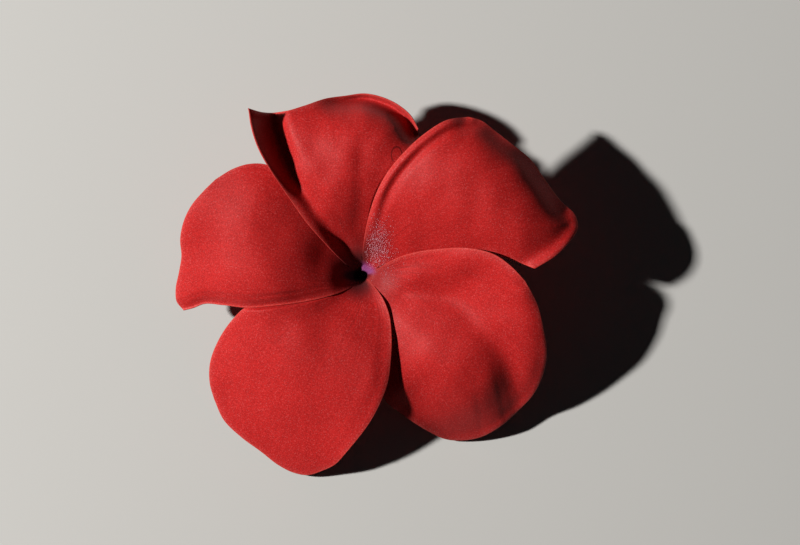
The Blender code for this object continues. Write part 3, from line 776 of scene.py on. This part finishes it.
def petal_velvet():
    """Crimson petal skin: fine velvety cells, faint veins along the blade, rims painted paler as
    a highlight, painted glints, painted shade in the throat and round its hole, and one lilac
    side of the throat"""
    f = Finish("petal_velvet")
    place = f.place_in_mm()
    uv = f.node("ShaderNodeTexCoord")["UV"]
    rim = f.layer("rim_depth")
    underside = f.layer("underside")
    reach = f.layer("reach")
    pit_shade = f.layer("pit_shade")
    painted_shade = f.layer("painted_shade")
    lilac = f.layer("lilac")

    drift = f.grain(place, DRIFTS)
    cells = f.grain(place, CELLS, detail=1.0)
    sparkle = f.grain(place, SPARKLES, detail=0.0)
    glints = f.grain(place, GLINTS, detail=0.0)
    stretched = f.node("ShaderNodeMapping", {}, {"Vector": uv, "Scale": VEIN_STRETCH})
    veins = f.grain(stretched["Vector"], 1.0, detail=3.0, roughness=0.6)

    mixed = drift * TONE_SHARES[0] + veins * TONE_SHARES[1] + cells * TONE_SHARES[2]
    skin = f.blend(f.step(mixed, *TONE_RANGE), CRIMSON_DEEP, CRIMSON)
    streaks = f.step(veins, *STREAK_RANGE) * (1 - f.step(reach, *STREAKS_END))
    skin = f.blend(streaks * STREAK_STRENGTH, skin, CRIMSON_SHADE)
    # painted highlight: the rims made lighter where the thin edges catch the light
    skin = f.blend((1 - f.step(rim, *RIM_HIGHLIGHT_END)) * RIM_HIGHLIGHT_STRENGTH, skin, CRIMSON_RIM_HIGHLIGHT)
    # painted glints: pale sparkle specks near the rim and over the skin, standing for reflections
    rim_glint = f.step(sparkle, *RIM_GLINT_RANGE) * (1 - f.step(rim, *RIM_GLINT_END))
    glint = f.step(glints, *GLINT_RANGE)
    skin = f.blend(glint * GLINT_STRENGTH + rim_glint * RIM_GLINT_STRENGTH, skin, CRIMSON_GLINT)
    skin = f.blend(underside * UNDER_STRENGTH, skin, CRIMSON_UNDER)
    skin = f.blend(f.layer("down") * DOWN_STRENGTH, skin, CRIMSON_DOWN)
    # painted shade: the throat's bases that face away from the light made darker
    skin = f.blend(painted_shade * (PAINTED_SHADE_STRENGTH[0] + cells * PAINTED_SHADE_STRENGTH[1]), skin, PAINTED_THROAT_SHADE)
    skin = f.blend(lilac * (LILAC_STRENGTH[0] + cells * LILAC_STRENGTH[1]), skin, THROAT_LILAC)
    # painted shade: the hole and its surroundings made nearly black
    skin = f.blend(1 - f.step(pit_shade + cells * PIT_SHADE_CELLS, *PIT_SHADE_EDGE), skin, PAINTED_HOLE_SHADE)
    skin = f.blend(curl_mark(f, place) * CURL_STRENGTH, skin, CRIMSON_SHADE)

    raised = cells * RELIEF_SHARES[0] + veins * RELIEF_SHARES[1]
    relief = f.node("ShaderNodeBump", {}, {
        "Strength": 0.6, "Distance": RELIEF_HEIGHT, "Height": raised})
    gloss = VELVET_ROUGHNESS - f.step(sparkle, *SPARKLE_RANGE) * SPARKLE_POLISH
    return f.surface(
        {"Base Color": skin, "Roughness": gloss, "Normal": relief["Normal"]},
        {"Specular IOR Level": 0.15, "Sheen Weight": 0.02, "Sheen Roughness": 0.5,
         "Sheen Tint": (1.0, 0.55, 0.60, 1)})


TUBE_RED = (0.30, 0.030, 0.030, 1)
TUBE_PALE = (0.46, 0.17, 0.12, 1)
TUBE_CUT = (0.58, 0.42, 0.27, 1)
# The stretch of the tube's faint lines, its spots to the millimetre, and how much both count
TUBE_STRETCH = (3.0, 30.0, 1.0)
TUBE_SPOTS = 2.5
LINE_SHARE, SPOT_SHARE = 0.25, 0.15
# How much the spots stand out beside the lines, the tube's roughness and what the spots add
SPOT_RELIEF = 0.4
TUBE_ROUGHNESS, SPOT_ROUGHNESS = 0.42, 0.15
# Along the tube, 0 to 1: where it turns pale and where it is cut
PALE_RANGE = (0.35, 1.15)
CUT_RANGE = (0.985, 1.0)


def tube_skin():
    """Waxy dark red, paler towards the cut end, with faint lines"""
    f = Finish("tube_skin")
    place = f.place_in_mm()
    uv = f.node("ShaderNodeTexCoord")["UV"]
    along = f.node("ShaderNodeSeparateXYZ", {}, {"Vector": uv})["X"]
    stretched = f.node("ShaderNodeMapping", {}, {"Vector": uv, "Scale": TUBE_STRETCH})
    lines = f.grain(stretched["Vector"], 1.0, detail=2.0)
    spots = f.grain(place, TUBE_SPOTS)
    paling = f.step(along + lines * LINE_SHARE + spots * SPOT_SHARE, *PALE_RANGE)
    skin = f.blend(paling, TUBE_RED, TUBE_PALE)
    skin = f.blend(f.step(along, *CUT_RANGE), skin, TUBE_CUT)
    relief = f.node("ShaderNodeBump", {}, {
        "Strength": 0.4, "Distance": RELIEF_HEIGHT, "Height": lines + spots * SPOT_RELIEF})
    gloss = TUBE_ROUGHNESS + spots * SPOT_ROUGHNESS
    return f.surface({"Base Color": skin, "Roughness": gloss, "Normal": relief["Normal"]},
                     {"Specular IOR Level": 0.45})


PAPILLA_ROSE = (0.58, 0.22, 0.27, 1)
PAPILLA_PALE = (0.80, 0.52, 0.60, 1)
PAPILLA_TINTS = 1.5


def papilla_skin():
    """Pale, slightly pink"""
    f = Finish("papilla_skin")
    tint = f.grain(f.place_in_mm(), PAPILLA_TINTS)
    return f.surface({"Base Color": f.blend(tint, PAPILLA_ROSE, PAPILLA_PALE)},
                     {"Roughness": 0.35})


# Papillae: how many to a square millimetre, their length, width, tip and sides, how unequal
# and how slanted they are in degrees, the least and most that they turn about each axis as
# shares of that slant, and how far from the throat the last ones are
PAPILLAE_PER_MM2 = 34.0
PAPILLA_LENGTH, PAPILLA_WIDTH, PAPILLA_TIP = 0.20, 0.036, 0.010
PAPILLA_SIDES, PAPILLA_ROWS = 6, 2
PAPILLA_SIZES = (0.5, 1.15)
PAPILLA_SLANT = 35
LEAST_TURNS, MOST_TURNS = (-1.0, -1.0, 0.0), (1.0, 1.0, 6.0)
PAPILLA_REACH = 12.0
# They thin out between these depths inside the rim
PAPILLAE_RIM = (0.1, 0.5)
STREWN_SEED, SLANT_SEED, SIZE_SEED = 7, 3, 5


def papilla_ground():
    """The skin that papillae may stand on: every petal's base with its share of them, so that
    the seed strews the same ones wherever they grow"""
    points, faces, share = [], [], []
    for name in PETALS:
        face, _, _, rim_depth = PETAL_FACES[name]
        reach = np.hypot(face[..., 0], face[..., 1])
        last = int(np.argmax(reach.min(axis=1) > PAPILLA_REACH))
        face, rim_depth = face[HOLE_ROWS:last], rim_depth[HOLE_ROWS:last]
        rows, columns = rim_depth.shape
        index = sum(map(len, points)) + np.arange(rows * columns).reshape(rows, columns)
        points.append(face.reshape(-1, 3))
        faces += grid_quads(index).tolist()
        share.append((down(name, face) * ramp(*PAPILLAE_RIM, rim_depth)).ravel())
    return new_piece("papilla_ground", np.vstack(points), faces, None,
                     {"papillae": np.concatenate(share)})


def papillae_piece(material):
    """Small tapered papillae strewn over the bases of the petals that have them"""
    ground = papilla_ground()
    tree = bpy.data.node_groups.new("papillae", "GeometryNodeTree")
    tree.interface.new_socket("Ground", in_out="INPUT", socket_type="NodeSocketGeometry")
    values = {"Number": PAPILLAE_PER_MM2 / MM ** 2, "Length": PAPILLA_LENGTH * MM,
              "Width": PAPILLA_WIDTH * MM, "Tip": PAPILLA_TIP * MM, "Least": PAPILLA_SIZES[0],
              "Most": PAPILLA_SIZES[1], "Slant": radians(PAPILLA_SLANT), "Skin": material}
    inputs = {name: tree.interface.new_socket(
        name, in_out="INPUT",
        socket_type="NodeSocketMaterial" if name == "Skin" else "NodeSocketFloat")
        for name in values}
    tree.interface.new_socket("Papillae", in_out="OUTPUT", socket_type="NodeSocketGeometry")

    def node(kind, settings=None, sockets=None):
        item = tree.nodes.new(kind)
        for key, setting in (settings or {}).items():
            setattr(item, key, setting)
        for key, value in (sockets or {}).items():
            socket = next(s for s in item.inputs if key in (s.identifier, s.name) and s.enabled)
            if isinstance(value, bpy.types.NodeSocket):
                tree.links.new(value, socket)
            else:
                socket.default_value = value
        return item.outputs

    given = node("NodeGroupInput")
    share = node("GeometryNodeInputNamedAttribute", {"data_type": "FLOAT"},
                 {"Name": "papillae"})["Attribute"]
    number = node("ShaderNodeMath", {"operation": "MULTIPLY"},
                  {"Value": share, "Value_001": given["Number"]})["Value"]
    strewn = node("GeometryNodeDistributePointsOnFaces", {"distribute_method": "RANDOM"},
                  {"Mesh": given["Ground"], "Density": number, "Seed": STREWN_SEED})
    cone = node("GeometryNodeMeshCone", {}, {
        "Vertices": PAPILLA_SIDES, "Side Segments": PAPILLA_ROWS, "Radius Top": given["Tip"],
        "Radius Bottom": given["Width"], "Depth": given["Length"]})["Mesh"]
    slants = node("FunctionNodeRandomValue", {"data_type": "FLOAT_VECTOR"}, {
        "Min": LEAST_TURNS, "Max": MOST_TURNS, "Seed": SLANT_SEED})["Value"]
    turned = node("ShaderNodeVectorMath", {"operation": "SCALE"},
                  {"Vector": slants, "Scale": given["Slant"]})["Vector"]
    upright = node("FunctionNodeRotateRotation", {"rotation_space": "LOCAL"}, {
        "Rotation": strewn["Rotation"],
        "Rotate By": node("FunctionNodeEulerToRotation", {}, {"Euler": turned})["Rotation"]})
    sizes = node("FunctionNodeRandomValue", {"data_type": "FLOAT"},
                 {"Min": given["Least"], "Max": given["Most"], "Seed": SIZE_SEED})["Value"]
    placed = node("GeometryNodeInstanceOnPoints", {}, {
        "Points": strewn["Points"], "Instance": cone, "Rotation": upright["Rotation"],
        "Scale": sizes})["Instances"]
    real = node("GeometryNodeRealizeInstances", {}, {"Geometry": placed})["Geometry"]
    skinned = node("GeometryNodeSetMaterial", {}, {
        "Geometry": real, "Material": given["Skin"]})["Geometry"]
    node("NodeGroupOutput", {}, {"Papillae": skinned})

    modifier = ground.modifiers.new("papillae", "NODES")
    modifier.node_group = tree
    for name, value in values.items():
        modifier[inputs[name].identifier] = value
    graph = bpy.context.evaluated_depsgraph_get()
    data = bpy.data.meshes.new_from_object(ground.evaluated_get(graph))
    data.name = "throat_papillae"
    bpy.data.objects.remove(ground, do_unlink=True)
    piece = add_object("throat_papillae", data)
    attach(piece, FLOWER)


TUBE_SIDES = 72
TUBE_ROWS = 60
# The tube's centre line, from below the lip down to its end on the surface
TUBE_PATH = [(0.0, 0.0, 6.9), (0.2, -0.2, 2.6), (0.9, 3.4, 1.9), (1.9, 12.6, 1.52)]
TUBE_RADIUS, TUBE_END_RADIUS, TUBE_WALL = 2.0, 1.5, 0.45
# The flared lip: how far its upper side runs below the petals' upper faces, its outer and
# inner radius, its rings, its thickness at its edge and what that grows by to each millimetre
LIP_BELOW = 0.75
LIP_RADIUS, LIP_INNER_RADIUS = 3.1, 2.05
LIP_RINGS = 8
LIP_EDGE = 0.1
LIP_THICKENS = 0.6
# Shallow flutes round the tube, and their depth as a share of its radius
TUBE_FLUTES = 5
TUBE_FLUTE_DEPTH = 0.05


def tube_path(share):
    """A place on the tube's centre line and the direction it runs in there"""
    a, b, c, d = (np.array(p) for p in TUBE_PATH)
    rest = 1 - share
    place = rest ** 3 * a + 3 * rest ** 2 * share * b + 3 * rest * share ** 2 * c + share ** 3 * d
    heading = rest ** 2 * (b - a) + 2 * rest * share * (c - b) + share ** 2 * (d - c)
    return place, heading / np.linalg.norm(heading)


def tube_piece(material):
    """The corolla tube: hollow, open at both ends, its lip flared along the petals' undersides"""
    turns = np.linspace(0, 2 * pi, TUBE_SIDES, endpoint=False)
    flute = 1 - TUBE_FLUTE_DEPTH * (1 + np.cos(TUBE_FLUTES * turns)) / 2

    def lip_ring(radius, below):
        px, py = radius * np.sin(turns), -radius * np.cos(turns)
        return np.stack([px, py, arch(px, py) - below], 1)

    def tube_ring(share, radius):
        place, heading = tube_path(share)
        side = np.cross(heading, (1.0, 0.0, 0.0))
        side /= np.linalg.norm(side)
        other = np.cross(side, heading)
        return place + (radius * flute)[:, None] * (
            np.cos(turns)[:, None] * side + np.sin(turns)[:, None] * other)

    shares = np.linspace(0, 1, TUBE_ROWS)
    radii = TUBE_RADIUS + (TUBE_END_RADIUS - TUBE_RADIUS) * shares
    lip_radii = np.linspace(LIP_RADIUS, LIP_INNER_RADIUS, LIP_RINGS)
    rings = [lip_ring(r, LIP_BELOW) for r in lip_radii[::-1]]
    rings += [lip_ring(r, LIP_BELOW + LIP_EDGE + LIP_THICKENS * (LIP_RADIUS - r))
              for r in lip_radii[:-1]]
    rings += [tube_ring(s, r) for s, r in zip(shares, radii)]
    rings += [tube_ring(s, r - TUBE_WALL) for s, r in zip(shares[::-1], radii[::-1])]
    along = np.concatenate([np.zeros(2 * LIP_RINGS - 1), shares, shares[::-1]])
    rings = np.array(rings)
    count = len(rings)
    index = np.arange(count * TUBE_SIDES).reshape(count, TUBE_SIDES)
    after, beside = np.roll(index, -1, axis=0), np.roll(index, -1, axis=1)
    both = np.roll(after, -1, axis=1)
    faces = np.stack([index, beside, both, after], -1).reshape(-1, 4).tolist()
    uv = np.dstack(np.broadcast_arrays(along[:, None], turns[None, :] / (2 * pi)))
    piece = new_piece("tube_wall", rings.reshape(-1, 3), faces, material,
                      uv=uv.reshape(-1, 2))
    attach(piece, FLOWER)
    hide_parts("corolla_tube")


FLOOR_HALF = 4.0
FLOOR_GREY = (0.45, 0.445, 0.43, 1)


def stage_floor():
    """A plain pale floor"""
    data = bpy.data.meshes.new("floor")
    corners = [(x, y, 0) for x, y in ((-FLOOR_HALF, -FLOOR_HALF), (FLOOR_HALF, -FLOOR_HALF),
                                      (FLOOR_HALF, FLOOR_HALF), (-FLOOR_HALF, FLOOR_HALF))]
    data.from_pydata(corners, [], [(0, 1, 2, 3)])
    paint = Finish("floor_paint")
    data.materials.append(paint.surface({}, {"Base Color": FLOOR_GREY, "Roughness": 0.8}))
    floor = add_object("floor", data)


def lamp(name, azimuth, elevation, distance, size, power, colour):
    """A square lamp that faces the flower: azimuth 0 is the photo's right, 90 its top"""
    data = bpy.data.lights.new(name, "AREA")
    data.size = size
    data.energy = power
    data.color = colour
    item = add_object(name, data)
    heading = Vector((cos(radians(elevation)) * cos(radians(azimuth)),
                      cos(radians(elevation)) * sin(radians(azimuth)), sin(radians(elevation))))
    item.location = heading * distance
    item.rotation_euler = heading.to_track_quat("Z", "Y").to_euler()


# The photo's frame: its middle on the flower's own axes, and its width at the petals' height
FRAME_MIDDLE = (4.68 * MM, 2.475 * MM)
FRAME_WIDTH = 152 * MM
FRAME_HEIGHT = 12 * MM
CAMERA_HEIGHT = 1.5
CAMERA_SEES = (0.05, 20.0)
SENSOR = 36.0


def stage_camera():
    """Straight above the flower, with the top of the photo towards +Y"""
    data = bpy.data.cameras.new("camera")
    data.sensor_width = SENSOR
    data.lens = SENSOR * (CAMERA_HEIGHT - FRAME_HEIGHT) / FRAME_WIDTH
    data.clip_start, data.clip_end = CAMERA_SEES
    camera = add_object("camera", data)
    camera.location = (*FRAME_MIDDLE, CAMERA_HEIGHT)
    bpy.context.scene.camera = camera


ROOM_COLOUR = (0.9, 0.93, 1.0, 1)
ROOM_STRENGTH = 0.010


def stage_light():
    """A small warm key from the photo's left, a faint broad fill and a dim cool room"""
    lamp("key", azimuth=172, elevation=40, distance=1.2, size=0.06, power=26.0,
         colour=(1.0, 0.98, 0.95))
    lamp("fill", azimuth=40, elevation=60, distance=1.5, size=1.2, power=0.03,
         colour=(0.95, 0.97, 1.0))
    world = bpy.data.worlds.new("room")
    world.use_nodes = True
    room = world.node_tree.nodes["Background"]
    room.inputs["Color"].default_value = ROOM_COLOUR
    room.inputs["Strength"].default_value = ROOM_STRENGTH
    bpy.context.scene.world = world
    bpy.context.scene.view_settings.view_transform = "Standard"


EDGE_CURVES = {name: edge_curves(petal) for name, petal in PETALS.items()}
PROFILE_CURVES = {heading: smooth_curve(list(zip(PROFILE_REACHES, heights)), PROFILE_POINTS)
                  for heading, heights in PROFILES.items()}
PETAL_FACES = {name: petal_face(name) for name in PETALS}

velvet = petal_velvet()
for petal_name in PETALS:
    petal_piece(petal_name, velvet)
tube_piece(tube_skin())
papillae_piece(papilla_skin())
stage_floor()
stage_camera()
stage_light()
